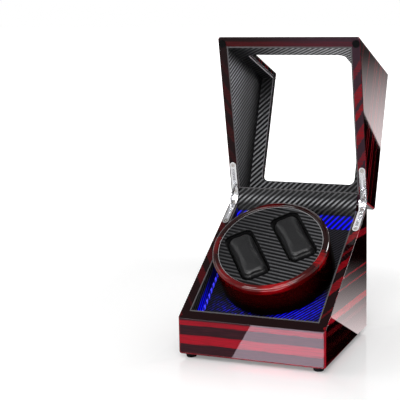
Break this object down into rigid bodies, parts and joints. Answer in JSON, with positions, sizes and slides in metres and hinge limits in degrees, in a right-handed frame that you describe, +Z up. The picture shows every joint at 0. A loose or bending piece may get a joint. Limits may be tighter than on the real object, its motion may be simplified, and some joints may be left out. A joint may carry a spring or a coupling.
{
  "type": "watch winder box",
  "caption": "Lacquered wooden watch winder box with a sloped seam, a hinged windowed lid on folding stays and a motor-driven turntable holding watch cushions.",
  "frame": {"origin": "middle of the footprint, on the plane that the rubber feet stand on", "axes": "+X to the right of someone facing the front, +Y to the back, where the hinges are, +Z up; the lid is stored open"},
  "size_m": [0.17, 0.266, 0.3483],
  "materials": {
    "lacquered_wood": "high-gloss lacquer over dark red streaked veneer",
    "floor_board": "painted fibreboard",
    "leatherette": "black ribbed leatherette, satin",
    "deck_leatherette": "black fine-ribbed leatherette, satin",
    "cushion_leatherette": "black soft leatherette",
    "clear_pane": "clear acrylic",
    "black_rubber": "matt",
    "chrome": "polished",
    "zinc_steel": "satin",
    "bronze_bush": "satin",
    "black_plastic": "satin",
    "circuit_board": "solder mask",
    "blue_light": "lit blue strip"
  },
  "bodies": {
    "base": {"base_left_panel": "lacquered_wood", "base_right_panel": "lacquered_wood", "base_front_panel": "lacquered_wood", "base_back_panel": "lacquered_wood", "base_floor_board": "floor_board", "base_wall_linings": "leatherette", "led_strip": "blue_light", "rubber_feet": "black_rubber", "deck_panel": "floor_board", "deck_lining": "deck_leatherette", "deck_cleats": "floor_board", "spindle_bush": "bronze_bush", "motor_gearbox": "bronze_bush", "motor_can": "zinc_steel", "drive_belt": "black_rubber", "motor_bracket": "zinc_steel", "bracket_screws": "zinc_steel", "control_plate": "black_plastic", "control_plate_screws": "zinc_steel", "mode_switch": "black_plastic", "light_switch_housing": "black_plastic", "dc_jack": "black_plastic", "control_board": "circuit_board", "base_hinge_leaves": "chrome", "hinge_pins": "chrome", "stay_base_pins": "chrome", "base_hinge_screws": "chrome"},
    "lid": {"lid_left_panel": "lacquered_wood", "lid_right_panel": "lacquered_wood", "lid_front_rail": "lacquered_wood", "lid_front_stiles": "lacquered_wood", "lid_top_rail": "lacquered_wood", "lid_top_stiles": "lacquered_wood", "lid_back_panel": "lacquered_wood", "lid_side_linings": "leatherette", "lid_frame_linings": "leatherette", "front_pane": "clear_pane", "top_pane": "clear_pane", "pane_seals": "black_rubber", "lid_bumpers": "black_rubber", "lid_hinge_leaves": "chrome", "stay_lid_pins": "chrome", "lid_hinge_screws": "chrome"},
    "stay_lower_left": {"stay_lower_left": "chrome"},
    "stay_lower_right": {"stay_lower_right": "chrome"},
    "stay_upper_left": {"stay_upper_left": "chrome"},
    "stay_upper_right": {"stay_upper_right": "chrome"},
    "turntable": {"turntable_drum": "lacquered_wood", "turntable_ring": "lacquered_wood", "turntable_face": "leatherette", "cushion_wells": "leatherette", "turntable_carrier": "black_plastic", "turntable_spindle": "zinc_steel", "driven_pulley": "black_plastic"},
    "cushion_left": {"cushion_left": "cushion_leatherette"},
    "cushion_right": {"cushion_right": "cushion_leatherette"},
    "motor_pulley": {"motor_pulley": "black_plastic", "motor_shaft": "zinc_steel"},
    "mode_knob": {"mode_knob": "black_plastic"},
    "light_rocker": {"light_rocker": "black_plastic"}
  },
  "joints": [
    {"name": "lid_hinge", "type": "hinge", "parent": "base", "child": "lid", "pos_m": [0, 0.085, 0.1525], "axis": [1, 0, 0], "range_deg": [0, 111]},
    {"name": "stay_lower_left_pivot", "type": "hinge", "parent": "base", "child": "stay_lower_left", "pos_m": [-0.08, 0.07187, 0.14141], "axis": [1, 0, 0], "range_deg": [0, 111]},
    {"name": "stay_upper_left_pivot", "type": "hinge", "parent": "lid", "child": "stay_upper_left", "pos_m": [-0.08, 0.08426, 0.16967], "axis": [1, 0, 0], "range_deg": [-111, 0]},
    {"name": "stay_lower_right_pivot", "type": "hinge", "parent": "base", "child": "stay_lower_right", "pos_m": [0.08, 0.07187, 0.14141], "axis": [1, 0, 0], "range_deg": [0, 111]},
    {"name": "stay_upper_right_pivot", "type": "hinge", "parent": "lid", "child": "stay_upper_right", "pos_m": [0.08, 0.08426, 0.16967], "axis": [1, 0, 0], "range_deg": [-111, 0]},
    {"name": "turntable_spin", "type": "hinge", "parent": "base", "child": "turntable", "pos_m": [0, 0.0102, 0.08198], "axis": [0, -0.5736, 0.8192], "continuous": true},
    {"name": "motor_pulley_spin", "type": "hinge", "parent": "base", "child": "motor_pulley", "pos_m": [0.045, 0.0102, 0.08198], "axis": [0, -0.5736, 0.8192], "continuous": true},
    {"name": "cushion_left_lift", "type": "slide", "parent": "turntable", "child": "cushion_left", "axis": [0, -0.5736, 0.8192], "range_m": [0, 0.02]},
    {"name": "cushion_right_lift", "type": "slide", "parent": "turntable", "child": "cushion_right", "axis": [0, -0.5736, 0.8192], "range_m": [0, 0.02]},
    {"name": "mode_knob_turn", "type": "hinge", "parent": "base", "child": "mode_knob", "pos_m": [-0.018, 0.087, 0.06], "axis": [0, 1, 0], "range_deg": [0, 120]},
    {"name": "light_rocker_tilt", "type": "hinge", "parent": "base", "child": "light_rocker", "pos_m": [0.006, 0.086, 0.06], "axis": [1, 0, 0], "range_deg": [-18, 0]}
  ],
  "couplings": [
    {"joint": "stay_lower_left_pivot", "follows": "lid_hinge", "ratio": 1},
    {"joint": "stay_upper_left_pivot", "follows": "lid_hinge", "ratio": -1},
    {"joint": "stay_lower_right_pivot", "follows": "lid_hinge", "ratio": 1},
    {"joint": "stay_upper_right_pivot", "follows": "lid_hinge", "ratio": -1},
    {"joint": "motor_pulley_spin", "follows": "turntable_spin", "ratio": 4.6667}
  ]
}
